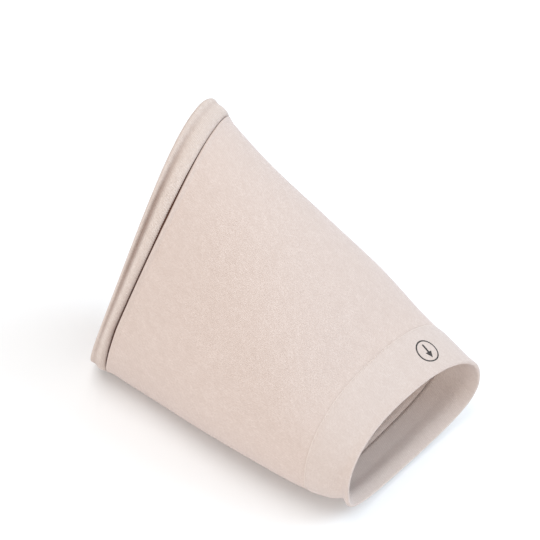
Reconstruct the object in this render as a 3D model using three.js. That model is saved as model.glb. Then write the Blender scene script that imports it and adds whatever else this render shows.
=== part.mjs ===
// Arch support sleeve: an elastic knitted tube, open at both ends, in its worn form for the
// right side. Millimetres, +Z up, +X towards the toe opening, +Y towards the inner side. The
// origin is on the inside of the sole, under the arch.
import * as THREE from 'three';

// Driving dimensions of the worn tube
const sleeveLength = 126; // from the heel opening to the toe opening
const ballWidth = 94; // the sections' widths and sideways places follow this
const heelLoopHeight = 106; // the sections' heights and lifts follow this
const heelInset = 72; // the heel opening lies this far behind the origin

// Walls: one knitted layer for the body, two for the folded toe band. Both ends of the body
// are thin, and run under the band and the cuff that are sewn over them.
const bodyWall = 1.3;
const bandWall = 1.9;
const thinEnd = 0.6;
const seamGap = 0.3; // clearance between pieces that are sewn to each other

// Toe band: a wide folded hem
const bandWidth = 21;
const bandEdgeRadius = 0.9;
const bandShoulder = 4; // its thickness comes up to the full wall over this length
const bandLap = 2; // the body's thin end reaches this far under it

// Heel cuff: a thick elastic ring with a ridge, sewn over the body's other thin end
const cuffWidthTop = 11;
const cuffWidthSide = 6.3; // where it is narrowest, at the outer side and opposite
const cuffWidthSole = 9;
const cuffWaist = 195; // degrees round the sleeve to its narrowest place
const cuffFlare = 1.4; // the greater, the longer it stays narrow
const cuffWall = 2.5; // at the crest of the ridge
const cuffRim = 0.3; // the rounding of its inner edge at the heel opening
const cuffLap = 0.5; // share of its width that covers the body's thin end

// The open crease between the cuff and the body, and the body's edge in front of it
const creaseGap = 0.45;
const creaseGapAtDimple = 0.85;
const edgeRun = 5; // length of the raised edge in front of the crease
const edgeRise = 0.6; // its height above the body's wall

// The worn cuff has a long dimple at the outer side, and the edge in front of it a faint one
const dimplePlace = 150; // degrees round the sleeve
const dimpleDepth = 1.0;
const edgeDimpleDepth = 0.35;
const dimpleFocus = 4; // the greater, the shorter the dimples

// Fineness of the faceted solids
const stepsAround = 72;
const stepsAlong = 13;
const lengthSteps = 60;
const bandSteps = 4;
const cuffSteps = 2;

// Cross-sections of the space inside the sleeve, from the heel opening to the toe opening.
// at: share of sleeveLength. side, width: shares of ballWidth. lift, height: shares of
// heelLoopHeight. lean: sideways shift towards +Y for each millimetre of rise. slope, swing:
// degrees that the section tips back at the top, and forward at the inner side.
// bow: share of sleeveLength that its top and bottom are drawn back. square: 2 is an ellipse.
const sections = [
  { at: 0.0, side: -0.19, lift: 0.02, width: 0.66, height: 0.98, lean: 0.42,
    slope: 3.5, swing: -8, bow: 0.03, square: 2.1 },
  { at: 0.2, side: -0.16, lift: 0.0, width: 0.68, height: 0.88, lean: 0.42,
    slope: 4, swing: -6, bow: 0.02, square: 2.1 },
  { at: 0.42, side: -0.11, lift: 0.0, width: 0.8, height: 0.74, lean: 0.38,
    slope: 5, swing: -3, bow: 0.01, square: 2.2 },
  { at: 0.62, side: -0.05, lift: 0.0, width: 0.9, height: 0.59, lean: 0.3,
    slope: 8, swing: 0, bow: 0.01, square: 2.3 },
  { at: 0.8, side: 0.0, lift: 0.0, width: 0.93, height: 0.44, lean: 0.17,
    slope: 14, swing: 2.5, bow: 0.015, square: 2.4 },
  { at: 0.91, side: 0.03, lift: 0.01, width: 0.89, height: 0.38, lean: 0.1,
    slope: 17, swing: 4, bow: 0.022, square: 2.4 },
  { at: 0.96, side: 0.045, lift: 0.03, width: 0.855, height: 0.338, lean: 0.06,
    slope: 19, swing: 5.3, bow: 0.028, square: 2.4 },
  { at: 1.0, side: 0.04, lift: 0.022, width: 0.875, height: 0.338, lean: 0.05,
    slope: 20, swing: 5.6, bow: 0.03, square: 2.4 },
];

// Value of one column at a place along the sleeve, on a smooth curve through the rows
function smoothColumn(column, place) {
  const last = sections.length - 1;
  let row = 0;
  while (row < last - 1 && sections[row + 1].at < place) row += 1;
  const slopeAt = (index) => {
    const before = sections[Math.max(index - 1, 0)];
    const after = sections[Math.min(index + 1, last)];
    return (after[column] - before[column]) / (after.at - before.at);
  };
  const start = sections[row];
  const end = sections[row + 1];
  const span = end.at - start.at;
  const share = (place - start.at) / span;
  const square = share * share;
  const cube = square * share;
  return (2 * cube - 3 * square + 1) * start[column]
    + (cube - 2 * square + share) * span * slopeAt(row)
    + (3 * square - 2 * cube) * end[column]
    + (cube - square) * span * slopeAt(row + 1);
}

function signedPower(value, power) {
  return Math.sign(value) * Math.abs(value) ** power;
}

// Point on the inner surface. place runs from 0 at the heel opening to 1 at the toe opening,
// angle from 0 at the inner side through a quarter turn at the top.
function innerPoint(place, angle) {
  const column = (name) => smoothColumn(name, place);
  const power = 2 / column('square');
  const halfHeight = column('height') * heelLoopHeight / 2;
  const topShare = signedPower(Math.sin(angle), power);
  const rise = halfHeight * topShare;
  const across = column('width') * ballWidth / 2 * signedPower(Math.cos(angle), power)
    + column('lean') * rise;
  const tipped = rise * Math.tan(THREE.MathUtils.degToRad(column('slope')));
  const swung = across * Math.tan(THREE.MathUtils.degToRad(column('swing')));
  const drawnBack = column('bow') * sleeveLength * topShare * topShare;
  return new THREE.Vector3(
    place * sleeveLength - heelInset - tipped + swung - drawnBack,
    column('side') * ballWidth + across,
    column('lift') * heelLoopHeight + halfHeight + rise,
  );
}

// Point at a height above the inner surface, measured square to it
function wallPoint(place, angle, height) {
  const nudge = 0.002;
  const before = Math.max(place - nudge, 0);
  const after = Math.min(place + nudge, 1);
  const along = innerPoint(after, angle).sub(innerPoint(before, angle));
  const around = innerPoint(place, angle + nudge).sub(innerPoint(place, angle - nudge));
  const outward = around.cross(along).normalize();
  return innerPoint(place, angle).addScaledVector(outward, height);
}

// One line along the sleeve: its length, and the place at a distance from the heel opening
function makeLine(angle) {
  const reached = [0];
  let previous = innerPoint(0, angle);
  for (let step = 1; step <= lengthSteps; step += 1) {
    const point = innerPoint(step / lengthSteps, angle);
    reached.push(reached[step - 1] + point.distanceTo(previous));
    previous = point;
  }
  const length = reached[lengthSteps];
  const placeAt = (distance) => {
    let step = 1;
    while (step < lengthSteps && reached[step] < distance) step += 1;
    const share = (distance - reached[step - 1]) / (reached[step] - reached[step - 1]);
    return THREE.MathUtils.clamp((step - 1 + share) / lengthSteps, 0, 1);
  };
  const fromWaist = Math.sin(angle - THREE.MathUtils.degToRad(cuffWaist));
  const widest = fromWaist < 0 ? cuffWidthTop : cuffWidthSole;
  const cuffWidth = THREE.MathUtils.lerp(cuffWidthSide, widest, Math.abs(fromWaist) ** cuffFlare);
  const towardsDimple = Math.cos(angle - THREE.MathUtils.degToRad(dimplePlace));
  const dimple = Math.max(towardsDimple, 0) ** dimpleFocus;
  const crease = THREE.MathUtils.lerp(creaseGap, creaseGapAtDimple, dimple);
  return { angle, length, placeAt, cuffWidth, dimple, crease };
}

const lines = Array.from({ length: stepsAround }, (_, step) => (
  makeLine(2 * Math.PI * step / stepsAround)
));

// Sweeps a closed profile round the sleeve. outline gives, for one line, the profile's points
// as distances from the heel opening and heights above the inner surface: first along the
// outside to the toe opening, then back along the inside.
function sweepAround(outline) {
  const positions = [];
  const faces = [];
  lines.forEach((line) => {
    outline(line).forEach(([distance, height]) => {
      positions.push(...wallPoint(line.placeAt(distance), line.angle, height).toArray());
    });
  });
  const ring = positions.length / 3 / stepsAround;
  for (let step = 0; step < stepsAround; step += 1) {
    const here = step * ring;
    const next = ((step + 1) % stepsAround) * ring;
    for (let point = 0; point < ring; point += 1) {
      const beyond = (point + 1) % ring;
      faces.push(here + point, next + point, next + beyond);
      faces.push(here + point, next + beyond, here + beyond);
    }
  }
  const geometry = new THREE.BufferGeometry();
  geometry.setAttribute('position', new THREE.Float32BufferAttribute(positions, 3));
  geometry.setIndex(faces);
  geometry.computeVertexNormals();
  return geometry;
}

// Evenly spaced points between two distances, both ends included
function evenRun(start, end, height, steps) {
  return Array.from({ length: steps + 1 }, (_, step) => (
    [THREE.MathUtils.lerp(start, end, step / steps), height]
  ));
}

// Raised edge in front of the crease. along: share of edgeRun. up: share of edgeRise.
// dimple: share of edgeDimpleDepth that it is pressed in by.
const edgeRows = [
  { along: 0.0, up: 0.1, dimple: 0 },
  { along: 0.03, up: 0.8, dimple: 0 },
  { along: 0.12, up: 1.0, dimple: 0 },
  { along: 0.28, up: 0.6, dimple: 0.5 },
  { along: 0.45, up: 0.25, dimple: 1 },
  { along: 0.7, up: 0.1, dimple: 0.4 },
  { along: 1.0, up: 0.0, dimple: 0 },
];

// Cuff from its lip at the heel opening, over its ridge, to the crease. along: share of the
// cuff's own width. up: share of cuffWall. dimple: share of dimpleDepth.
const cuffRows = [
  { along: 0.0, up: 0.22, dimple: 0 },
  { along: 0.02, up: 0.54, dimple: 0 },
  { along: 0.07, up: 0.72, dimple: 0 },
  { along: 0.13, up: 0.73, dimple: 0.1 },
  { along: 0.21, up: 0.68, dimple: 0.7 },
  { along: 0.3, up: 0.66, dimple: 1 },
  { along: 0.4, up: 0.76, dimple: 0.6 },
  { along: 0.52, up: 0.93, dimple: 0.1 },
  { along: 0.66, up: 1.0, dimple: 0 },
  { along: 0.82, up: 0.98, dimple: 0 },
  { along: 0.93, up: 0.84, dimple: 0 },
  { along: 0.98, up: 0.64, dimple: 0 },
  { along: 1.0, up: 0.44, dimple: 0 },
];

// Toe band's soft shoulder at the seam. along: share of bandShoulder. up: share of bandWall.
const shoulderRows = [
  { along: 0.0, up: 0.62 },
  { along: 0.04, up: 0.7 },
  { along: 0.2, up: 0.8 },
  { along: 0.5, up: 0.94 },
  { along: 1.0, up: 1.0 },
];

// Body: a thin end under the cuff, the raised edge, the wall, and a thin end under the band
function bodyOutline(line) {
  const start = line.cuffWidth * (1 - cuffLap);
  const edgeStart = line.cuffWidth + line.crease / 2;
  const seam = line.length - bandWidth;
  const edge = edgeRows.map(({ along, up, dimple }) => (
    [
      edgeStart + along * edgeRun,
      bodyWall + up * edgeRise - dimple * edgeDimpleDepth * line.dimple,
    ]
  ));
  return [
    [start, thinEnd],
    [edgeStart, thinEnd],
    ...edge,
    ...evenRun(edgeStart + edgeRun, seam - seamGap, bodyWall, stepsAlong).slice(1),
    [seam - seamGap, thinEnd],
    [seam + bandLap, thinEnd],
    ...evenRun(seam + bandLap, start, 0, stepsAlong),
  ];
}

// Heel cuff: a closed ring at the heel opening, which covers the body's thin end
function cuffOutline(line) {
  const end = line.cuffWidth - line.crease / 2;
  const step = line.cuffWidth * (1 - cuffLap) - seamGap;
  const seat = thinEnd + seamGap;
  const outside = cuffRows.map(({ along, up, dimple }) => (
    [along * end, up * cuffWall - dimple * dimpleDepth * line.dimple]
  ));
  return [
    ...outside,
    ...evenRun(end, step, seat, cuffSteps),
    ...evenRun(step, cuffRim, 0, cuffSteps),
  ];
}

// Toe band: two layers with a round fold at the toe opening, sewn over the body's thin end
function bandOutline(line) {
  const seam = line.length - bandWidth;
  const fold = line.length - bandEdgeRadius;
  const lapEnd = seam + bandLap + seamGap;
  const seat = thinEnd + seamGap;
  const middle = bandWall / 2;
  const shoulder = shoulderRows.map(({ along, up }) => (
    [seam + along * bandShoulder, up * bandWall]
  ));
  const turns = [0.5, 0.25, 0, -0.25, -0.5].map((turn) => (
    [
      fold + bandEdgeRadius * Math.cos(turn * Math.PI),
      middle + middle * Math.sin(turn * Math.PI),
    ]
  ));
  return [
    ...shoulder,
    ...evenRun(seam + bandShoulder, fold, bandWall, bandSteps).slice(1, -1),
    ...turns,
    ...evenRun(fold, lapEnd, 0, bandSteps).slice(1),
    [lapEnd, seat],
    [seam, seat],
  ];
}

const knitBeige = new THREE.MeshStandardMaterial({ color: 0xe2d3ca, roughness: 0.92, metalness: 0 });
const bandBeige = new THREE.MeshStandardMaterial({ color: 0xe2dad6, roughness: 0.9, metalness: 0 });
const cuffBeige = new THREE.MeshStandardMaterial({ color: 0xe3d5cb, roughness: 0.94, metalness: 0 });

function makePiece(name, outline, material) {
  const piece = new THREE.Mesh(sweepAround(outline), material);
  piece.name = name;
  return piece;
}

const sleeve = new THREE.Group();
sleeve.add(makePiece('sleeve_body', bodyOutline, knitBeige));
sleeve.add(makePiece('heel_cuff', cuffOutline, cuffBeige));
sleeve.add(makePiece('toe_band', bandOutline, bandBeige));

export default sleeve;
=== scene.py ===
import math

import bmesh
import bpy
import numpy as np
from mathutils import Matrix, Vector


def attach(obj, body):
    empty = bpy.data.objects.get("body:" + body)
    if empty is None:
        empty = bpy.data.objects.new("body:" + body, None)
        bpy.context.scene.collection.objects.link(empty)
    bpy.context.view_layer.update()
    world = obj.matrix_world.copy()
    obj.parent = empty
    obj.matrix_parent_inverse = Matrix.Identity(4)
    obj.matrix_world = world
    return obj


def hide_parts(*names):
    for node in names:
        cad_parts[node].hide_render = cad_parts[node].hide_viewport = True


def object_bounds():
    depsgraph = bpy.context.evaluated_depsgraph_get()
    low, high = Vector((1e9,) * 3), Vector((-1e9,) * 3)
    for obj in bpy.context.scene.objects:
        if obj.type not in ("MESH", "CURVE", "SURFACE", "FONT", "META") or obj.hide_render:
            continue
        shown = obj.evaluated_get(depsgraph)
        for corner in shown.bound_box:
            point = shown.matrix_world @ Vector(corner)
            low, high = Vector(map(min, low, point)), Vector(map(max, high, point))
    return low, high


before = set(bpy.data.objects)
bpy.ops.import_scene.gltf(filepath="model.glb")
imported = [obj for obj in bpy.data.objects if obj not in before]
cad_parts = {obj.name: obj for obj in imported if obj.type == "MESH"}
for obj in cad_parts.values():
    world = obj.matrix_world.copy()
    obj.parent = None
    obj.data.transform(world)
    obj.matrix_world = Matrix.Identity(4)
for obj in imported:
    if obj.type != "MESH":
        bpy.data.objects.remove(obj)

cad_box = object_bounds()

# Camera. It looks down on the sleeve from its outer side, with the toe opening a little
# towards it, and is rolled until the sleeve runs down from the top left to the bottom right.
LENS_MM = 150
NEAREST_SEEN = 0.05
CAMERA_DISTANCE = 0.9
TOE_END_TOWARDS_CAMERA = math.radians(12)
CAMERA_ABOVE_SIDE = math.radians(55)
SLOPE_IN_IMAGE = math.radians(37)
LOOK_AT = Vector((-0.030, 0.0045, 0.0505))

towards_camera = Vector((
    math.sin(TOE_END_TOWARDS_CAMERA),
    -math.cos(TOE_END_TOWARDS_CAMERA) * math.cos(CAMERA_ABOVE_SIDE),
    math.cos(TOE_END_TOWARDS_CAMERA) * math.sin(CAMERA_ABOVE_SIDE),
))
toe_end_way = Vector((1, 0, 0))
length_seen = (toe_end_way - towards_camera * toe_end_way.dot(towards_camera)).normalized()
height_seen = towards_camera.cross(length_seen)
slope_cos, slope_sin = math.cos(SLOPE_IN_IMAGE), math.sin(SLOPE_IN_IMAGE)
image_right = length_seen * slope_cos + height_seen * slope_sin
image_up = height_seen * slope_cos - length_seen * slope_sin

camera = bpy.data.objects.new("camera", bpy.data.cameras.new("camera"))
camera.data.lens = LENS_MM
camera.data.clip_start = NEAREST_SEEN
camera.matrix_world = (
    Matrix.Translation(LOOK_AT + towards_camera * CAMERA_DISTANCE)
    @ Matrix((image_right, image_up, towards_camera)).transposed().to_4x4()
)
bpy.context.scene.collection.objects.link(camera)
bpy.context.scene.camera = camera

# Studio. A white paper floor and soft white light from all round. A large soft box hangs
# above the heel opening, a cooler one on the inner side and a wide one low on the outer side.
FLOOR_SIZE = 20.0
FLOOR_WHITE = "#F6F6F6"
FLOOR_CLEARANCE = 0.0005
ROOM_LIGHT = 0.7
# Name, size, place, power in watts and colour
SOFT_BOXES = (
    ("key_box", 0.7, Vector((-0.40, -0.22, 1.06)), 5.2, "#FFFFFF"),
    ("cool_box", 0.6, Vector((0.40, 0.60, 0.60)), 5.2, "#DAEEFF"),
    ("fill_box", 0.8, Vector((0.45, -1.00, 0.15)), 5.2, "#FFFAF8"),
)


def linear(hex_colour):
    """The linear colour of an sRGB hex value, with alpha 1."""
    channels = [int(hex_colour[i:i + 2], 16) / 255 for i in (1, 3, 5)]
    return [c / 12.92 if c <= 0.04045 else ((c + 0.055) / 1.055) ** 2.4 for c in channels] + [1]


def add_node(tree, kind, inputs=None, **settings):
    """One node with its settings. An input is a value, or the socket that is linked to it."""
    node = tree.nodes.new(kind)
    for name, value in settings.items():
        setattr(node, name, value)
    for key, value in (inputs or {}).items():
        if isinstance(value, bpy.types.NodeSocket):
            tree.links.new(value, node.inputs[key])
        else:
            node.inputs[key].default_value = value
    return node


def empty_material(name):
    """A material with no nodes yet, and its tree."""
    material = bpy.data.materials.new(name)
    material.use_nodes = True
    material.node_tree.nodes.clear()
    return material, material.node_tree


paper, paper_tree = empty_material("white_paper")
paper_surface = add_node(paper_tree, "ShaderNodeBsdfPrincipled", {
    "Base Color": linear(FLOOR_WHITE),
    "Roughness": 0.9,
    "Specular IOR Level": 0.1,
})
add_node(paper_tree, "ShaderNodeOutputMaterial", {"Surface": paper_surface.outputs["BSDF"]})

floor_height = cad_box[0].z - FLOOR_CLEARANCE
floor_mesh = bpy.data.meshes.new("floor")
floor_mesh.from_pydata(
    [(x * FLOOR_SIZE / 2, y * FLOOR_SIZE / 2, floor_height)
     for x, y in ((-1, -1), (1, -1), (1, 1), (-1, 1))],
    [], [(0, 1, 2, 3)],
)
floor_mesh.materials.append(paper)
floor = bpy.data.objects.new("floor", floor_mesh)
bpy.context.scene.collection.objects.link(floor)

room = bpy.data.worlds.new("room")
room.use_nodes = True
room.node_tree.nodes["Background"].inputs["Strength"].default_value = ROOM_LIGHT
room.node_tree.nodes["Background"].inputs["Color"].default_value = (1, 1, 1, 1)
bpy.context.scene.world = room

for box_name, size, place, power, colour in SOFT_BOXES:
    soft_box = bpy.data.objects.new(box_name, bpy.data.lights.new(box_name, "AREA"))
    soft_box.data.energy = power
    soft_box.data.size = size
    soft_box.data.color = linear(colour)[:3]
    soft_box.location = place
    soft_box.rotation_euler = (LOOK_AT - place).to_track_quat("-Z", "Y").to_euler()
    bpy.context.scene.collection.objects.link(soft_box)
bpy.context.scene.view_settings.view_transform = "Standard"

# Worn form of the knitted tube: cross-sections of the space inside it, from the heel opening
# to the toe opening. All pieces are swept round them. Lengths are in millimetres.
MM = 0.001
SLEEVE_LENGTH = 126
BALL_WIDTH = 94
HEEL_LOOP_HEIGHT = 106
HEEL_INSET = 72
# at and bow are shares of the sleeve's length, side and width of the ball's width, lift and
# height of the heel loop's height. lean is the sideways shift for each millimetre of rise.
# slope and swing are degrees back at the top and forward at the inner side. square 2 is round.
COLUMNS = ("at", "side", "lift", "width", "height", "lean", "slope", "swing", "bow", "square")
SECTIONS = np.array([
    (0.00, -0.19, 0.02, 0.66, 0.98, 0.42, 3.5, -8.0, 0.030, 2.1),
    (0.20, -0.16, 0.00, 0.68, 0.88, 0.42, 4.0, -6.0, 0.020, 2.1),
    (0.42, -0.11, 0.00, 0.80, 0.74, 0.38, 5.0, -3.0, 0.010, 2.2),
    (0.62, -0.05, 0.00, 0.90, 0.59, 0.30, 8.0, 0.0, 0.010, 2.3),
    (0.80, 0.00, 0.00, 0.93, 0.44, 0.17, 14.0, 2.5, 0.015, 2.4),
    (0.91, 0.03, 0.01, 0.89, 0.38, 0.10, 17.0, 4.0, 0.022, 2.4),
    (0.96, 0.045, 0.03, 0.855, 0.338, 0.06, 19.0, 5.3, 0.028, 2.4),
    (1.00, 0.04, 0.022, 0.875, 0.338, 0.05, 20.0, 5.6, 0.030, 2.4),
])
LENGTH_STEPS = 120
TURN_STEPS = 360
# Shares of the length and of a turn between the points that give the cloth's direction
NUDGE = 0.002
TURN_NUDGE = 0.0005


def smooth_through(knots, values, where):
    """Values on a smooth curve through the knots, at each place in where."""
    ahead = np.minimum(np.arange(len(knots)) + 1, len(knots) - 1)
    behind = np.maximum(np.arange(len(knots)) - 1, 0)
    more_axes = (-1,) + (1,) * (values.ndim - 1)
    steepness = (values[ahead] - values[behind]) / (knots[ahead] - knots[behind]).reshape(more_axes)
    row = np.clip(np.searchsorted(knots, where) - 1, 0, len(knots) - 2)
    span = knots[row + 1] - knots[row]
    share = (where - knots[row]) / span
    if values.ndim > 1:
        span, share = span.reshape(more_axes), share.reshape(more_axes)
    square, cube = share ** 2, share ** 3
    return ((2 * cube - 3 * square + 1) * values[row]
            + (cube - 2 * square + share) * span * steepness[row]
            + (3 * square - 2 * cube) * values[row + 1]
            + (cube - square) * span * steepness[row + 1])


def inner_point(place, turn):
    """Points on the inside of the cloth. place is 0 at the heel opening and 1 at the toe
    opening. turn goes once round from 0 at the inner side, with a quarter at the top."""
    def column(name):
        return smooth_through(SECTIONS[:, 0], SECTIONS[:, COLUMNS.index(name)], place)

    power = 2 / column("square")
    cosine, sine = np.cos(2 * np.pi * turn), np.sin(2 * np.pi * turn)
    top_share = np.sign(sine) * np.abs(sine) ** power
    half_height = column("height") * HEEL_LOOP_HEIGHT / 2
    rise = half_height * top_share
    across = (column("width") * BALL_WIDTH / 2 * np.sign(cosine) * np.abs(cosine) ** power
              + column("lean") * rise)
    x = (place * SLEEVE_LENGTH - HEEL_INSET
         - rise * np.tan(np.radians(column("slope")))
         + across * np.tan(np.radians(column("swing")))
         - column("bow") * SLEEVE_LENGTH * top_share ** 2)
    y = column("side") * BALL_WIDTH + across
    z = column("lift") * HEEL_LOOP_HEIGHT + half_height + rise
    return np.stack([x, y, z], axis=-1)


def girth(place):
    """The length once round the inside at a place."""
    points = inner_point(np.full(TURN_STEPS + 1, place), np.linspace(0, 1, TURN_STEPS + 1))
    return np.linalg.norm(np.diff(points, axis=0), axis=-1).sum()


def directions(place, turn):
    """Unit vectors along the cloth to the toe opening, and outwards, at each point."""
    along = (inner_point(np.minimum(place + NUDGE, 1), turn)
             - inner_point(np.maximum(place - NUDGE, 0), turn))
    around = inner_point(place, turn + TURN_NUDGE) - inner_point(place, turn - TURN_NUDGE)
    outward = np.cross(around, along)
    return (along / np.linalg.norm(along, axis=-1, keepdims=True),
            outward / np.linalg.norm(outward, axis=-1, keepdims=True))


class Wales:
    """Lines along the sleeve at the given turns, with their lengths in millimetres."""

    def __init__(self, turns):
        self.turns = turns
        self.steps = np.linspace(0, 1, LENGTH_STEPS + 1)
        points = inner_point(*np.meshgrid(self.steps, turns, indexing="ij"))
        stretches = np.linalg.norm(np.diff(points, axis=0), axis=-1)
        self.reached = np.vstack([np.zeros(len(turns)), np.cumsum(stretches, axis=0)])
        self.length = self.reached[-1]

    def spread(self, values):
        """The same values on every line, or each line's own."""
        return np.broadcast_to(np.asarray(values, float), self.turns.shape)

    def place_at(self, distances):
        """The place of each distance from the heel opening. distances is rows by lines."""
        lines = range(len(self.turns))
        return np.stack([np.interp(distances[:, i], self.reached[:, i], self.steps)
                         for i in lines], axis=1)

    def points(self, distances, heights):
        """Points in metres at those distances and at heights above the cloth's inside."""
        place = self.place_at(distances)
        turn = np.broadcast_to(self.turns, place.shape)
        outward = directions(place, turn)[1]
        return (inner_point(place, turn) + outward * heights[..., None]) * MM


def evenly_round(count):
    """Lines along the sleeve, evenly spaced round it."""
    return Wales(np.arange(count) / count)


# Body: one layer of fine nylon and elastane jersey, knitted round as a tube without a side
# seam and worn stretched. Both its ends are thin. The rear one runs under the cuff, with a
# raised edge in front of it, and the front one under the toe band.
BODY_WALL = 1.3
THIN_END = 0.6
SEAM_GAP = 0.07
BAND_WIDTH = 21
BAND_LAP = 2
CUFF_LAP = 0.5
SLEEVE_LINES = 360
BODY_STEPS = 70
INNER_STEPS = 50
CORNER_STEP = 0.05
# The cuff's widths at the top, where it is narrowest and at the sole, which the crease in
# front of it follows. The cuff has a long dimple at its outer side.
CUFF_WIDTH_TOP = 11
CUFF_WIDTH_SIDE = 6.3
CUFF_WIDTH_SOLE = 9
CUFF_WAIST = math.radians(195)
CUFF_FLARE = 1.4  # the greater, the longer the cuff stays narrow
WAIST_FOCUS = 1.5
# Degrees round from the inner side, and how wide the crease is open there
CREASE = np.array([(30, 0.05), (88, 0.05), (104, 0.15), (120, 0.38), (140, 0.7), (158, 0.42),
                   (180, 0.45), (197, 0.55), (222, 0.5), (240, 0.2), (270, 0.05)])
DIMPLE_PLACE = math.radians(150)
DIMPLE_FOCUS = 4
EDGE_RUN = 5
EDGE_RISE = 0.6
EDGE_SPACING = 0.2
EDGE_DIMPLE_DEPTH = 0.35
# Share of the edge's run, of its rise, and of the dimple's depth
EDGE_ROWS = ((0.0, 0.1, 0), (0.03, 0.8, 0), (0.12, 1.0, 0), (0.28, 0.6, 0.5), (0.45, 0.25, 1),
             (0.7, 0.1, 0.4), (1.0, 0.0, 0))


def cuff_width(wales):
    """The cuff's width on each line."""
    from_waist = np.sin(2 * np.pi * wales.turns - CUFF_WAIST)
    widest = np.where(from_waist < 0, CUFF_WIDTH_TOP, CUFF_WIDTH_SOLE)
    return CUFF_WIDTH_SIDE + (widest - CUFF_WIDTH_SIDE) * np.abs(from_waist) ** CUFF_FLARE


def waist_share(wales):
    """How near each line is to the cuff's narrowest places, from 0 to 1."""
    return (1 - np.abs(np.sin(2 * np.pi * wales.turns - CUFF_WAIST))) ** WAIST_FOCUS


def dimple_share(wales):
    """How deep the dimple is on each line, from 0 to 1."""
    return np.maximum(np.cos(2 * np.pi * wales.turns - DIMPLE_PLACE), 0) ** DIMPLE_FOCUS


def crease_gap(wales):
    """The open crease between the cuff and the body on each line."""
    return np.interp(360 * wales.turns, CREASE[:, 0], CREASE[:, 1], period=360)


def soft_run(wales, rows, spacing, painted_shade=None):
    """Part of an outline, on a smooth curve through rows of distance and height. Its last argument
    gives each row a share of painted shade. A run is its distances, its heights, and its shares of
    inside and of painted shade."""
    columns = [row[0] for row in rows], [row[1] for row in rows], painted_shade or [0] * len(rows)
    distances, heights, shares = [
        np.stack([wales.spread(value) for value in column]) for column in columns
    ]
    chords = np.hypot(np.diff(distances.mean(axis=1)), np.diff(heights.mean(axis=1)))
    knots = np.concatenate([[0], np.cumsum(chords)])
    where = np.linspace(0, knots[-1], max(round(knots[-1] / spacing), 2) + 1)
    smooth = [smooth_through(knots, values, where) for values in (distances, heights, shares)]
    return smooth[0], smooth[1], 0, smooth[2]


def straight_run(wales, start, end, height, steps, inside=0, painted_shade=0):
    """Part of an outline at one height, evenly spaced, without its first point."""
    shares = (np.arange(steps) + 1)[:, None] / steps
    distances = wales.spread(start) + (wales.spread(end) - wales.spread(start)) * shares
    return distances, np.broadcast_to(wales.spread(height), distances.shape), inside, painted_shade


def swept_mesh(name, wales, runs):
    """A closed skin round the sleeve, through the runs of its outline: first along the
    outside to the toe opening, then back along the inside."""
    distances = np.vstack([run[0] for run in runs])
    heights = np.vstack([run[1] for run in runs])
    row_count, line_count = distances.shape
    row, line = np.meshgrid(np.arange(row_count), np.arange(line_count), indexing="ij")
    next_row, next_line = (row + 1) % row_count, (line + 1) % line_count
    corner_rows = np.stack([row, row, next_row, next_row], axis=-1)
    corner_lines = np.stack([line, next_line, next_line, line], axis=-1)
    mesh = bpy.data.meshes.new(name)
    mesh.from_pydata(
        wales.points(distances, heights).reshape(-1, 3).tolist(), [],
        (corner_rows * line_count + corner_lines).reshape(-1, 4).tolist(),
    )
    turn_shares = np.stack([line, line + 1, line + 1, line], axis=-1) / line_count
    length_shares = distances[corner_rows, corner_lines] / SLEEVE_LENGTH
    knit_map = mesh.uv_layers.new(name="knit")
    knit_map.data.foreach_set("uv", np.stack([turn_shares, length_shares], axis=-1).ravel())
    # The second attribute carries the share of painted shade for the crease and the cuff's groove.
    for attribute_name, column in (("inside", 2), ("painted_shade", 3)):
        values = np.vstack([np.broadcast_to(run[column], run[0].shape) for run in runs])
        attribute = mesh.attributes.new(attribute_name, "FLOAT", "POINT")
        attribute.data.foreach_set("value", values.astype(float).ravel())
    mesh.polygons.foreach_set("use_smooth", [True] * len(mesh.polygons))
    mesh.update()
    return mesh


# Stitches, in courses of slant for each wale, and the sizes of what makes them uneven
WALE_WIDTH = 0.85
COURSE_HEIGHT = 0.66
V_STITCH_SLANT = 1.3
BAR_SLANT = 0.3
WOBBLE = 0.4
WOBBLE_SIZE = 1.4
FLUFF_SIZE = 0.75
STREAK_WIDTH = 2.6
STREAK_LENGTH = 5.2
STREAK_SHADE = 0.45
CLOUD_SIZE = 14
CLOUD_SHADE = 0.1
# Heights as shares of a stitch's: its edge's, the fluff's, and where each colour is full
STITCH_EDGE = 0.45
FLUFF_HEIGHT = 1.9
GAP_HEIGHT = 0.8
YARN_HEIGHT = 3.0

middle_girth = girth(0.5)
knit_scale = (round(middle_girth / WALE_WIDTH), SLEEVE_LENGTH / COURSE_HEIGHT, 1)
streak_scale = (middle_girth / STREAK_WIDTH, SLEEVE_LENGTH / STREAK_LENGTH, 1)


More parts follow.
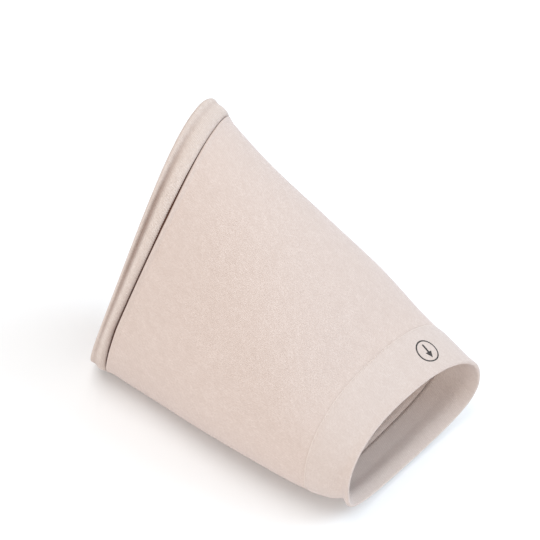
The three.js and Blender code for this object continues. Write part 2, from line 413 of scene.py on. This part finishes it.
def knit_material(name, yarn, gap, shade_colour, stitch_height):
    """Plain jersey: columns of small V stitches outside and rows of flat bars inside. The light
    catches each yarn's round top, the gaps between stitches are painted darker as painted shade,
    and fine fibres fluff up the yarn and give the cloth a soft pale sheen. The stitches and the
    fluff are drawn about twice as wide as real ones, or they wouldn't show. The given dark brown is
    painted shade, laid where the cloth's painted shade attribute is set."""
    material, tree = empty_material(name)
    knit_map = add_node(tree, "ShaderNodeUVMap", uv_map="knit")
    stitches = add_node(tree, "ShaderNodeMapping", {
        "Vector": knit_map.outputs["UV"],
        "Scale": knit_scale,
    })
    parts = add_node(tree, "ShaderNodeSeparateXYZ", {0: stitches.outputs["Vector"]})
    cloth = add_node(tree, "ShaderNodeTexCoord")
    wobble = add_node(tree, "ShaderNodeTexNoise", {
        "Vector": cloth.outputs["Object"],
        "Scale": 1 / (WOBBLE_SIZE * MM),
        "Detail": 1,
    })
    wale = add_node(tree, "ShaderNodeMath", {0: parts.outputs["X"], 1: 0.5}, operation="PINGPONG")
    inside = add_node(tree, "ShaderNodeAttribute", attribute_name="inside")
    slant = add_node(tree, "ShaderNodeMapRange", {
        "Value": inside.outputs["Fac"], "To Min": V_STITCH_SLANT, "To Max": BAR_SLANT,
    })
    slanted = add_node(tree, "ShaderNodeMath", {
        0: wale.outputs[0], 1: slant.outputs[0], 2: parts.outputs["Y"],
    }, operation="MULTIPLY_ADD")
    uneven = add_node(tree, "ShaderNodeMath", {
        0: wobble.outputs["Fac"], 1: WOBBLE, 2: slanted.outputs[0],
    }, operation="MULTIPLY_ADD")
    yarn_side = add_node(tree, "ShaderNodeMath", {
        0: uneven.outputs[0], 1: 0.5,
    }, operation="PINGPONG")
    yarn_top = add_node(tree, "ShaderNodeMapRange", {
        "Value": yarn_side.outputs[0], "From Max": 0.5,
    }, interpolation_type="SMOOTHERSTEP")
    half_wale = add_node(tree, "ShaderNodeMath", {
        0: wale.outputs[0], 1: 2 * math.pi,
    }, operation="MULTIPLY")
    across_yarn = add_node(tree, "ShaderNodeMath", {0: half_wale.outputs[0]}, operation="SINE")
    wale_top = add_node(tree, "ShaderNodeMapRange", {
        "Value": across_yarn.outputs[0], "To Min": STITCH_EDGE,
    })
    stitch = add_node(tree, "ShaderNodeMath", {
        0: yarn_top.outputs[0], 1: wale_top.outputs[0],
    }, operation="MULTIPLY")
    fluff = add_node(tree, "ShaderNodeTexNoise", {
        "Vector": cloth.outputs["Object"],
        "Scale": 1 / (FLUFF_SIZE * MM),
        "Detail": 2,
    })
    relief = add_node(tree, "ShaderNodeMath", {
        0: fluff.outputs["Fac"], 1: FLUFF_HEIGHT, 2: stitch.outputs[0],
    }, operation="MULTIPLY_ADD")
    bump = add_node(tree, "ShaderNodeBump", {
        "Strength": 0.28,
        "Distance": stitch_height * MM,
        "Height": relief.outputs[0],
    })
    # Painted shade: the colour goes from the yarn's to the darker gap colour as the relief falls
    # between the stitches.
    yarn_share = add_node(tree, "ShaderNodeMapRange", {
        "Value": relief.outputs[0], "From Min": GAP_HEIGHT, "From Max": YARN_HEIGHT,
    })
    knitted = add_node(tree, "ShaderNodeMix", {
        "Factor": yarn_share.outputs[0], "A": linear(gap), "B": linear(yarn),
    }, data_type="RGBA")
    clouds = add_node(tree, "ShaderNodeTexNoise", {
        "Vector": cloth.outputs["Object"],
        "Scale": 1 / (CLOUD_SIZE * MM),
        "Detail": 2,
    })
    cloud_depth = add_node(tree, "ShaderNodeMapRange", {
        "Value": clouds.outputs["Fac"],
        "From Min": 0.35, "From Max": 0.65, "To Max": CLOUD_SHADE,
    })
    stretched_map = add_node(tree, "ShaderNodeMapping", {
        "Vector": knit_map.outputs["UV"],
        "Scale": streak_scale,
    })
    streaks = add_node(tree, "ShaderNodeTexNoise", {
        "Vector": stretched_map.outputs["Vector"],
        "Scale": 1,
        "Detail": 2,
    })
    streak_depth = add_node(tree, "ShaderNodeMapRange", {
        "Value": streaks.outputs["Fac"],
        "From Min": 0.35, "From Max": 0.7, "To Max": STREAK_SHADE,
    })
    shade_depth = add_node(tree, "ShaderNodeMath", {
        0: cloud_depth.outputs[0], 1: streak_depth.outputs[0],
    }, operation="ADD")
    mottled = add_node(tree, "ShaderNodeMix", {
        "Factor": shade_depth.outputs[0], "A": knitted.outputs["Result"], "B": linear(gap),
    }, data_type="RGBA")
    # Painted shade: the colour turns dark brown where the crease between cuff and body and the
    # cuff's groove fall in shadow.
    painted_shade_share = add_node(tree, "ShaderNodeAttribute", attribute_name="painted_shade")
    colour = add_node(tree, "ShaderNodeMix", {
        "Factor": painted_shade_share.outputs["Fac"], "A": mottled.outputs["Result"], "B": linear(shade_colour),
    }, data_type="RGBA")
    surface = add_node(tree, "ShaderNodeBsdfPrincipled", {
        "Base Color": colour.outputs["Result"],
        "Roughness": 0.85,
        "Specular IOR Level": 0.2,
        "Sheen Weight": 0.3,
        "Sheen Roughness": 0.4,
        "Sheen Tint": linear("#F1EEF8"),
        "Normal": bump.outputs["Normal"],
    })
    add_node(tree, "ShaderNodeOutputMaterial", {"Surface": surface.outputs["BSDF"]})
    return material


def add_piece(name, mesh, material):
    """Puts a mesh in the scene as a piece of the sleeve."""
    mesh.materials.clear()
    mesh.materials.append(material)
    piece = bpy.data.objects.new(name, mesh)
    bpy.context.scene.collection.objects.link(piece)
    return piece


PAINTED_SHADE_BROWN = "#6A4636"  # painted shade: dark brown where the crease between cuff and body and the cuff's groove lie in shadow
sleeve_wales = evenly_round(SLEEVE_LINES)
body_start = cuff_width(sleeve_wales) * (1 - CUFF_LAP)
edge_start = cuff_width(sleeve_wales) + crease_gap(sleeve_wales) / 2
seam = sleeve_wales.length - BAND_WIDTH
seam_edge = seam - SEAM_GAP
edge_rows = [(edge_start + along * EDGE_RUN,
              BODY_WALL + up * EDGE_RISE - dimple * EDGE_DIMPLE_DEPTH * dimple_share(sleeve_wales))
             for along, up, dimple in EDGE_ROWS]
body_runs = [
    # The rear thin end, seen at the bottom of the crease, takes the painted shade brown.
    straight_run(sleeve_wales, body_start, edge_start - CORNER_STEP, THIN_END, steps=6, painted_shade=1),
    soft_run(sleeve_wales, edge_rows, spacing=EDGE_SPACING),
    straight_run(sleeve_wales, edge_start + EDGE_RUN, seam_edge - CORNER_STEP, BODY_WALL,
                 steps=BODY_STEPS),
    straight_run(sleeve_wales, seam_edge, seam_edge, BODY_WALL - CORNER_STEP, steps=1),
    straight_run(sleeve_wales, seam_edge, seam + BAND_LAP, THIN_END, steps=3),
    straight_run(sleeve_wales, seam + BAND_LAP, seam + BAND_LAP, 0, steps=1, inside=1),
    straight_run(sleeve_wales, seam + BAND_LAP, body_start, 0, steps=INNER_STEPS, inside=1),
]
jersey = knit_material("beige_jersey", "#E4D6CE", "#C6B4AA", PAINTED_SHADE_BROWN, stitch_height=0.3)
body = add_piece("knit_body", swept_mesh("knit_body", sleeve_wales, body_runs), jersey)
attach(body, "root")
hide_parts("sleeve_body")

# Toe band: the same jersey folded into a wide hem, so it has two layers. Its thickness comes
# up softly from the seam, and it is round where it is folded at the toe opening.
BAND_WALL = 1.9
BAND_SHOULDER = 4
SHOULDER_SPACING = 0.3
FOLD_RADIUS = 0.9
FOLD_POINTS = 9
FOLD_SPACING = 0.25
# Share of the shoulder's length, and of the band's thickness
SHOULDER_ROWS = ((0.0, 0.62), (0.04, 0.7), (0.2, 0.8), (0.5, 0.94), (1.0, 1.0))

fold = sleeve_wales.length - FOLD_RADIUS
lap_end = seam + BAND_LAP + SEAM_GAP
shoulder_rows = [(seam + along * BAND_SHOULDER, up * BAND_WALL) for along, up in SHOULDER_ROWS]
fold_rows = [(fold + FOLD_RADIUS * math.cos(turn), BAND_WALL / 2 * (1 + math.sin(turn)))
             for turn in np.linspace(math.pi / 2, -math.pi / 2, FOLD_POINTS)]
band_runs = [
    soft_run(sleeve_wales, shoulder_rows, spacing=SHOULDER_SPACING),
    straight_run(sleeve_wales, seam + BAND_SHOULDER, fold - FOLD_SPACING, BAND_WALL, steps=18),
    soft_run(sleeve_wales, fold_rows, spacing=FOLD_SPACING),
    straight_run(sleeve_wales, fold, lap_end, 0, steps=12, inside=1),
    straight_run(sleeve_wales, lap_end, lap_end, THIN_END + SEAM_GAP, steps=1, inside=1),
    straight_run(sleeve_wales, lap_end, seam, THIN_END + SEAM_GAP, steps=2, inside=1),
]
folded_jersey = knit_material("folded_jersey", "#E0D4CD", "#C6B6AD", PAINTED_SHADE_BROWN,
                              stitch_height=0.25)
band_mesh = swept_mesh("folded_toe_band", sleeve_wales, band_runs)
band = add_piece("folded_toe_band", band_mesh, folded_jersey)
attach(band, "root")
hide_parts("toe_band")

# Seam: a close row of small slanted stitches of nylon thread, which joins the body to the
# band all round. They lie across the gap between the two and stand up a little.
STITCH_PITCH = 0.62
STITCH_LENGTH = 1.0
STITCH_RISE = 0.12
STITCH_HEIGHT = 1.12
STITCH_SLANT = math.radians(22)
THREAD_RADIUS = 0.26
THREAD_SIDES = 6
STRAND_SIZE = 0.4
STRAND_RELIEF = 0.05
STITCH_STEPS = 5
STITCH_UNEVEN = 0.06
STITCH_SEED = 7


def tree_with_inputs(name, sizes):
    """An empty Geometry Nodes tree with a named input for each size, and those inputs."""
    tree = bpy.data.node_groups.new(name, "GeometryNodeTree")
    tree.interface.new_socket("Geometry", in_out="INPUT", socket_type="NodeSocketGeometry")
    for size_name in sizes:
        tree.interface.new_socket(size_name, in_out="INPUT", socket_type="NodeSocketFloat")
    tree.interface.new_socket("Geometry", in_out="OUTPUT", socket_type="NodeSocketGeometry")
    return tree, tree.nodes.new("NodeGroupInput").outputs


def grown_mesh(name, guide, tree, sizes):
    """The plain mesh that a Geometry Nodes tree makes on a guide object."""
    modifier = guide.modifiers.new(name, "NODES")
    modifier.node_group = tree
    for socket in tree.interface.items_tree:
        if socket.name in sizes:
            modifier[socket.identifier] = sizes[socket.name]
    depsgraph = bpy.context.evaluated_depsgraph_get()
    mesh = bpy.data.meshes.new_from_object(
        guide.evaluated_get(depsgraph), preserve_all_data_layers=True, depsgraph=depsgraph)
    mesh.name = name
    guide.modifiers.remove(modifier)
    return mesh


def thread_material(name, thread, shade):
    """Twisted nylon thread: smooth and faintly glossy, with painted shade darker between its
    strands.
    """
    material, tree = empty_material(name)
    place = add_node(tree, "ShaderNodeTexCoord")
    strands = add_node(tree, "ShaderNodeTexNoise", {
        "Vector": place.outputs["Object"],
        "Scale": 1 / (STRAND_SIZE * MM),
        "Detail": 1,
    })
    bump = add_node(tree, "ShaderNodeBump", {
        "Strength": 0.4,
        "Distance": STRAND_RELIEF * MM,
        "Height": strands.outputs["Fac"],
    })
    # Painted shade: darker where the strands' relief is low.
    colour = add_node(tree, "ShaderNodeMix", {
        "Factor": strands.outputs["Fac"], "A": linear(shade), "B": linear(thread),
    }, data_type="RGBA")
    surface = add_node(tree, "ShaderNodeBsdfPrincipled", {
        "Base Color": colour.outputs["Result"],
        "Roughness": 0.6,
        "Specular IOR Level": 0.35,
        "Sheen Weight": 0.2,
        "Normal": bump.outputs["Normal"],
    })
    add_node(tree, "ShaderNodeOutputMaterial", {"Surface": surface.outputs["BSDF"]})
    return material


def stitch_tree(thread, sizes):
    """Puts one short curved thread on each point of a guide. The guide's attributes say which
    way the seam runs there and which way is out."""
    tree, size = tree_with_inputs("seam_stitches", sizes)
    half = add_node(tree, "ShaderNodeMath", {0: size["Length"], 1: 0.5}, operation="MULTIPLY")
    back = add_node(tree, "ShaderNodeMath", {0: size["Length"], 1: -0.5}, operation="MULTIPLY")
    crown = add_node(tree, "ShaderNodeMath", {0: size["Rise"], 1: 2}, operation="MULTIPLY")
    start = add_node(tree, "ShaderNodeCombineXYZ", {"X": back.outputs[0]})
    middle = add_node(tree, "ShaderNodeCombineXYZ", {"Z": crown.outputs[0]})
    end = add_node(tree, "ShaderNodeCombineXYZ", {"X": half.outputs[0]})
    path = add_node(tree, "GeometryNodeCurveQuadraticBezier", {
        "Resolution": STITCH_STEPS, "Start": start.outputs[0],
        "Middle": middle.outputs[0], "End": end.outputs[0],
    })
    section = add_node(tree, "GeometryNodeCurvePrimitiveCircle", {
        "Resolution": THREAD_SIDES, "Radius": size["Radius"],
    })
    stitch = add_node(tree, "GeometryNodeCurveToMesh", {
        "Curve": path.outputs[0], "Profile Curve": section.outputs[0], "Fill Caps": True,
    })
    round_stitch = add_node(tree, "GeometryNodeSetShadeSmooth", {"Geometry": stitch.outputs[0]})
    seam_way, outward = [
        add_node(tree, "GeometryNodeInputNamedAttribute", {"Name": name}, data_type="FLOAT_VECTOR")
        for name in ("seam_way", "outward")
    ]
    flat = add_node(tree, "FunctionNodeAxesToRotation", {
        "Primary Axis": outward.outputs[0], "Secondary Axis": seam_way.outputs[0],
    }, primary_axis="Z", secondary_axis="X")
    turn = add_node(tree, "FunctionNodeAxisAngleToRotation", {
        "Axis": (0, 0, 1), "Angle": size["Slant"],
    })
    slanted = add_node(tree, "FunctionNodeRotateRotation", {
        "Rotation": flat.outputs[0], "Rotate By": turn.outputs[0],
    }, rotation_space="LOCAL")
    # Random Value has several sockets named Min and Max. 2 and 3 are those of its float.
    uneven = add_node(tree, "FunctionNodeRandomValue", {
        2: 1 - STITCH_UNEVEN, 3: 1 + STITCH_UNEVEN, "Seed": STITCH_SEED,
    }, data_type="FLOAT")
    stitches = add_node(tree, "GeometryNodeInstanceOnPoints", {
        "Points": size["Geometry"], "Instance": round_stitch.outputs[0],
        "Rotation": slanted.outputs[0], "Scale": uneven.outputs[1],
    })
    real = add_node(tree, "GeometryNodeRealizeInstances", {"Geometry": stitches.outputs[0]})
    dressed = add_node(tree, "GeometryNodeSetMaterial", {
        "Geometry": real.outputs[0], "Material": thread,
    })
    add_node(tree, "NodeGroupOutput", {"Geometry": dressed.outputs[0]})
    return tree


seam_girth = girth(1 - BAND_WIDTH / SLEEVE_LENGTH)
seam_wales = evenly_round(round(seam_girth / STITCH_PITCH))
seam_line = (seam_wales.length - BAND_WIDTH - SEAM_GAP / 2)[None, :]
stitch_places = seam_wales.points(seam_line, np.full(seam_line.shape, STITCH_HEIGHT))[0]
seam_way = np.roll(stitch_places, -1, axis=0) - np.roll(stitch_places, 1, axis=0)
outward = directions(seam_wales.place_at(seam_line), seam_wales.turns[None, :])[1][0]
guide_mesh = bpy.data.meshes.new("stitch_guide")
guide_mesh.from_pydata(stitch_places.tolist(), [], [])
for attribute_name, vectors in (("seam_way", seam_way), ("outward", outward)):
    attribute = guide_mesh.attributes.new(attribute_name, "FLOAT_VECTOR", "POINT")
    attribute.data.foreach_set("vector", vectors.ravel())
guide = bpy.data.objects.new("stitch_guide", guide_mesh)
bpy.context.scene.collection.objects.link(guide)
stitch_sizes = {"Length": STITCH_LENGTH * MM, "Rise": STITCH_RISE * MM,
                "Radius": THREAD_RADIUS * MM, "Slant": STITCH_SLANT}
sewing_thread = thread_material("nylon_sewing_thread", "#DBCDC4", "#C6B6AC")
stitch_mesh = grown_mesh("seam_stitches", guide, stitch_tree(sewing_thread, stitch_sizes),
                         stitch_sizes)
bpy.data.objects.remove(guide)
seam_stitches = add_piece("seam_stitches", stitch_mesh, sewing_thread)
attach(seam_stitches, "root")

# Wearing mark: a plain ring with an arrow to the toe opening, printed on the band near the
# top of its inner side, in one pass of thin dark ink that follows the cloth.
MARK_PLACE = 64 / 360
MARK_FROM_OPENING = 10.5
MARK_RADIUS = 5.15
RING_LINE = 0.62
RING_STEPS = 72
INK_THICKNESS = 0.05
INK_SINK = 0.02
RUB_SIZE = 0.55
INK = "#332F2E"
INK_WORN = "#6A625D"
# How far from the ring's middle to the toe opening, and the arrow's half width there
ARROW_ROWS = ((-3.2, 0.44), (-1.3, 0.44), (0.45, 0.44), (0.5, 1.65), (1.9, 0.85), (3.3, 0.05))


def ink_mesh(name, across, ahead, looped):
    """A thin closed skin of ink on the band, over a grid of places in millimetres from the
    middle of the mark. Its first and last rows are joined when it is looped."""
    nearby = Wales(MARK_PLACE + np.array([-0.5, 0.5]) * NUDGE)
    level = np.full((1, 2), BAND_WALL)
    sides = nearby.points((nearby.length - MARK_FROM_OPENING)[None, :], level)[0] / MM
    per_turn = np.linalg.norm(sides[1] - sides[0]) / NUDGE
    wales = Wales(MARK_PLACE + across.ravel() / per_turn)
    distances = (wales.length - MARK_FROM_OPENING + ahead.ravel())[None, :]
    rows, columns = across.shape
    skin = bmesh.new()
    layers = []
    for height in (BAND_WALL - INK_SINK, BAND_WALL - INK_SINK + INK_THICKNESS):
        places = wales.points(distances, np.full(distances.shape, height))[0]
        layer = [skin.verts.new(place) for place in places]
        layers.append([layer[i * columns:(i + 1) * columns] for i in range(rows)])
    below, above = layers
    last = rows if looped else rows - 1
    for row in range(last):
        after = (row + 1) % rows
        for layer in layers:
            for column in range(columns - 1):
                skin.faces.new((layer[row][column], layer[after][column],
                                layer[after][column + 1], layer[row][column + 1]))
        for edge in (0, columns - 1):
            skin.faces.new((below[row][edge], above[row][edge],
                            above[after][edge], below[after][edge]))
    end_rows = () if looped else (0, rows - 1)
    for row in end_rows:
        for column in range(columns - 1):
            skin.faces.new((below[row][column], below[row][column + 1],
                            above[row][column + 1], above[row][column]))
    bmesh.ops.recalc_face_normals(skin, faces=skin.faces)
    mesh = bpy.data.meshes.new(name)
    skin.to_mesh(mesh)
    skin.free()
    return mesh


def ink_material(name, ink, worn):
    """Screen-printed ink: matt and dark, a little paler where the yarns' tops have rubbed."""
    material, tree = empty_material(name)
    place = add_node(tree, "ShaderNodeTexCoord")
    rubbed = add_node(tree, "ShaderNodeTexNoise", {
        "Vector": place.outputs["Object"],
        "Scale": 1 / (RUB_SIZE * MM),
        "Detail": 2,
    })
    wear = add_node(tree, "ShaderNodeMapRange", {
        "Value": rubbed.outputs["Fac"], "From Min": 0.5, "From Max": 0.75,
    })
    colour = add_node(tree, "ShaderNodeMix", {
        "Factor": wear.outputs[0], "A": linear(ink), "B": linear(worn),
    }, data_type="RGBA")
    bump = add_node(tree, "ShaderNodeBump", {
        "Strength": 0.3,
        "Distance": INK_THICKNESS * MM,
        "Height": rubbed.outputs["Fac"],
    })
    surface = add_node(tree, "ShaderNodeBsdfPrincipled", {
        "Base Color": colour.outputs["Result"],
        "Roughness": 0.7,
        "Specular IOR Level": 0.25,
        "Normal": bump.outputs["Normal"],
    })
    add_node(tree, "ShaderNodeOutputMaterial", {"Surface": surface.outputs["BSDF"]})
    return material


screen_ink = ink_material("screen_printed_ink", INK, INK_WORN)
ring_turns = np.arange(RING_STEPS)[:, None] * 2 * np.pi / RING_STEPS
ring_radii = MARK_RADIUS - RING_LINE * np.array([[1, 0]])
ring_mesh = ink_mesh("mark_ring", ring_radii * np.cos(ring_turns),
                     ring_radii * np.sin(ring_turns), looped=True)
arrow_ahead, arrow_half = np.array(ARROW_ROWS).T[:, :, None]
arrow_across = arrow_half * np.array([[-1, 0, 1]])
arrow_mesh = ink_mesh("mark_arrow", arrow_across,
                      np.broadcast_to(arrow_ahead, arrow_across.shape), looped=False)
mark_pieces = [add_piece("mark_ring", ring_mesh, screen_ink),
               add_piece("mark_arrow", arrow_mesh, screen_ink)]
for piece in mark_pieces:
    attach(piece, "root")

# Heel cuff: a thick elastic ring at the heel opening, knitted in fine ribs across it and sewn
# over the body's rear end. It has a lip, a long groove, a broad ridge and a rounded edge.
CUFF_WALL = 2.5
CUFF_RIM = 0.3
DIMPLE_DEPTH = 1.2
RIB_WIDTH = 0.82
RIB_DEPTH = 0.22
LINES_PER_RIB = 4
RIDGE_SPACING = 0.3
RIB_PAINTED_SHADE = 0.5  # how strongly painted shade darkens the groove and the strip beside the crease
FAINT_GROOVE = 0.2  # share of its painted shade that the groove keeps away from the dimple
# Share of the cuff's width, of its wall and of the dimple's depth, and how much painted shade
# darkens the groove at the dimple and the strip beside the crease at the waist
CUFF_ROWS = ((0.0, 0.22, 0, 0, 0), (0.02, 0.58, 0, 0, 0), (0.06, 0.77, 0, 0, 0),
             (0.12, 0.8, 0, 0, 0), (0.2, 0.77, 0.4, 0.4, 0.3), (0.27, 0.75, 0.9, 1, 0.4),
             (0.33, 0.76, 1, 1, 0.1), (0.4, 0.82, 0.6, 0.4, 0), (0.48, 0.91, 0.15, 0, 0),
             (0.6, 1.0, 0, 0, 0), (0.78, 0.98, 0, 0, 0.4), (0.9, 0.85, 0, 0.1, 0.7),
             (0.97, 0.64, 0, 0.3, 0.7), (1.0, 0.44, 0, 0.5, 0.7))


def rib_tree(elastic, sizes):
    """Presses fine grooves into the outside of a skin, across it, evenly spaced all round."""
    tree, size = tree_with_inputs("cuff_ribs", sizes)
    turn, inside = [
        add_node(tree, "GeometryNodeInputNamedAttribute", {"Name": name}, data_type="FLOAT")
        for name in ("turn", "inside")
    ]
    all_waves = add_node(tree, "ShaderNodeMath", {
        0: size["Ribs"], 1: 2 * math.pi,
    }, operation="MULTIPLY")
    reached = add_node(tree, "ShaderNodeMath", {
        0: turn.outputs[0], 1: all_waves.outputs[0],
    }, operation="MULTIPLY")
    wave = add_node(tree, "ShaderNodeMath", {0: reached.outputs[0]}, operation="COSINE")
    groove = add_node(tree, "ShaderNodeMath", {
        0: wave.outputs[0], 1: 0.5, 2: -0.5,
    }, operation="MULTIPLY_ADD")
    outside = add_node(tree, "ShaderNodeMath", {0: 1.0, 1: inside.outputs[0]}, operation="SUBTRACT")
    outer_groove = add_node(tree, "ShaderNodeMath", {
        0: groove.outputs[0], 1: outside.outputs[0],
    }, operation="MULTIPLY")
    depth = add_node(tree, "ShaderNodeMath", {
        0: outer_groove.outputs[0], 1: size["Depth"],
    }, operation="MULTIPLY")
    normal = add_node(tree, "GeometryNodeInputNormal")
    offset = add_node(tree, "ShaderNodeVectorMath", {
        0: normal.outputs["Normal"], "Scale": depth.outputs[0],
    }, operation="SCALE")
    ribbed = add_node(tree, "GeometryNodeSetPosition", {
        "Geometry": size["Geometry"], "Offset": offset.outputs["Vector"],
    })
    real = add_node(tree, "GeometryNodeRealizeInstances", {"Geometry": ribbed.outputs[0]})
    dressed = add_node(tree, "GeometryNodeSetMaterial", {
        "Geometry": real.outputs[0], "Material": elastic,
    })
    add_node(tree, "NodeGroupOutput", {"Geometry": dressed.outputs[0]})
    return tree


rib_count = round(girth(0) / RIB_WIDTH)
cuff_wales = evenly_round(LINES_PER_RIB * rib_count)
cuff_end = cuff_width(cuff_wales) - crease_gap(cuff_wales) / 2
cuff_step = cuff_width(cuff_wales) * (1 - CUFF_LAP) - SEAM_GAP
cuff_seat = THIN_END + SEAM_GAP
ridge_rows = [(along * cuff_end,
               up * CUFF_WALL - dimple * DIMPLE_DEPTH * dimple_share(cuff_wales))
              for along, up, dimple, shade_at_dimple, shade_at_waist in CUFF_ROWS]
# Painted shade: the groove near the dimple and the strip beside the crease near the waist are
# darkened where they lie in shadow.
groove_share = FAINT_GROOVE + (1 - FAINT_GROOVE) * dimple_share(cuff_wales)
painted_rib_shade = [RIB_PAINTED_SHADE * (shade_at_dimple * groove_share
                                + shade_at_waist * waist_share(cuff_wales))
              for along, up, dimple, shade_at_dimple, shade_at_waist in CUFF_ROWS]
cuff_runs = [
    soft_run(cuff_wales, ridge_rows, spacing=RIDGE_SPACING, painted_shade=painted_rib_shade),
    # The cuff's end wall in the crease, and the seat under it, take the painted shade brown.
    straight_run(cuff_wales, cuff_end, cuff_end, cuff_seat, steps=1, painted_shade=1),
    straight_run(cuff_wales, cuff_end, cuff_step, cuff_seat, steps=3, inside=1, painted_shade=1),
    straight_run(cuff_wales, cuff_step, cuff_step, 0, steps=1, inside=1),
    straight_run(cuff_wales, cuff_step, CUFF_RIM, 0, steps=4, inside=1),
]
elastic_rib = knit_material("elastic_rib", "#EDE3DC", "#C9B9AF", PAINTED_SHADE_BROWN,
                            stitch_height=0.3)
smooth_cuff = swept_mesh("smooth_cuff", cuff_wales, cuff_runs)
turn_attribute = smooth_cuff.attributes.new("turn", "FLOAT", "POINT")
cuff_rows = len(smooth_cuff.vertices) // len(cuff_wales.turns)
turn_attribute.data.foreach_set("value", np.tile(cuff_wales.turns, cuff_rows))
cuff = add_piece("ribbed_cuff", smooth_cuff, elastic_rib)
rib_sizes = {"Ribs": rib_count, "Depth": RIB_DEPTH * MM}
cuff.data = grown_mesh("ribbed_cuff", cuff, rib_tree(elastic_rib, rib_sizes), rib_sizes)
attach(cuff, "root")
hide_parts("heel_cuff")
